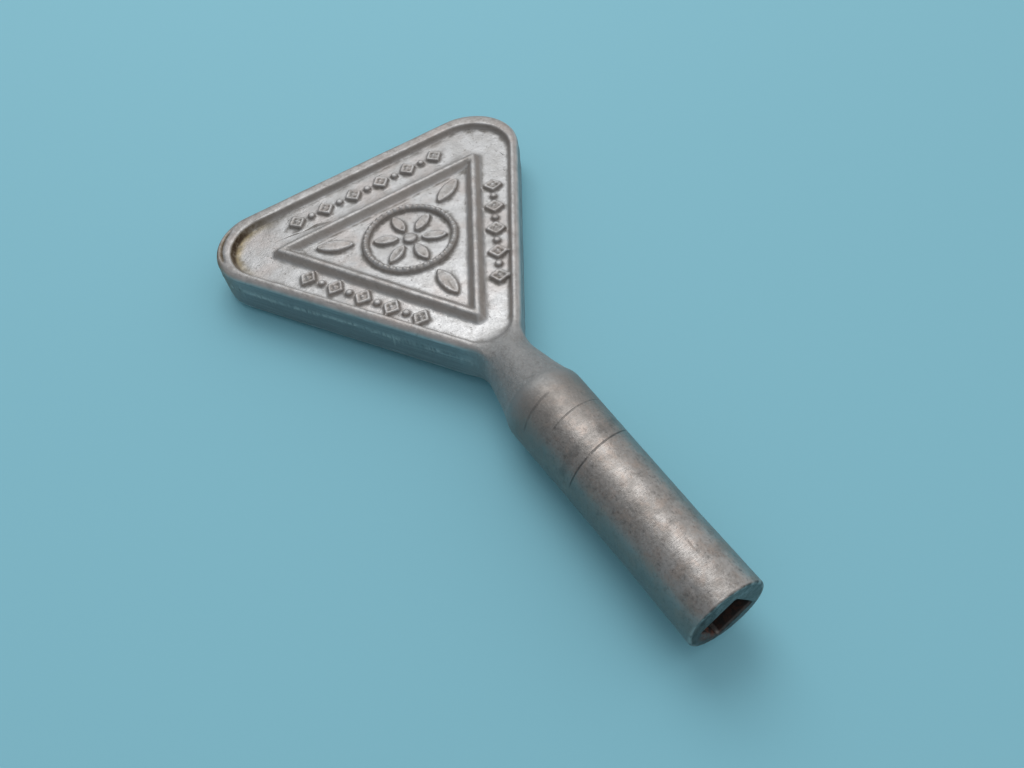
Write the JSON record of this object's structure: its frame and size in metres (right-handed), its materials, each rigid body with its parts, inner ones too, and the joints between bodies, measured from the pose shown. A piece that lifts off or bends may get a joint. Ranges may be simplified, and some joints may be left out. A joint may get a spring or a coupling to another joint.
{
  "type": "winding key",
  "caption": "Clockwork winding key with a flat triangular cast bow, recessed faces with a raised triangle and cast ornament, a short neck and a round steel barrel with a square hole.",
  "frame": {"origin": "centre of the square hole's mouth, in the plane of the barrel's end face, 0.6 mm below the axis of the barrel, neck and bow", "axes": "+X along the square hole towards the bow, parallel to the barrel's axis, +Z square to the bow's faces, +Y across the bow's width"},
  "size_m": [0.0705, 0.0402, 0.0086],
  "materials": {
    "white_metal": "as-cast white metal (zinc alloy), light grey and satin, bright on the worn crests, brown dirt in the recess corners",
    "barrel_steel": "mild steel worn to a satin brown-grey patina with fine scratches, red-brown rust inside the square hole"
  },
  "bodies": {
    "root": {"bow": "white_metal", "barrel": "barrel_steel"}
  },
  "joints": []
}
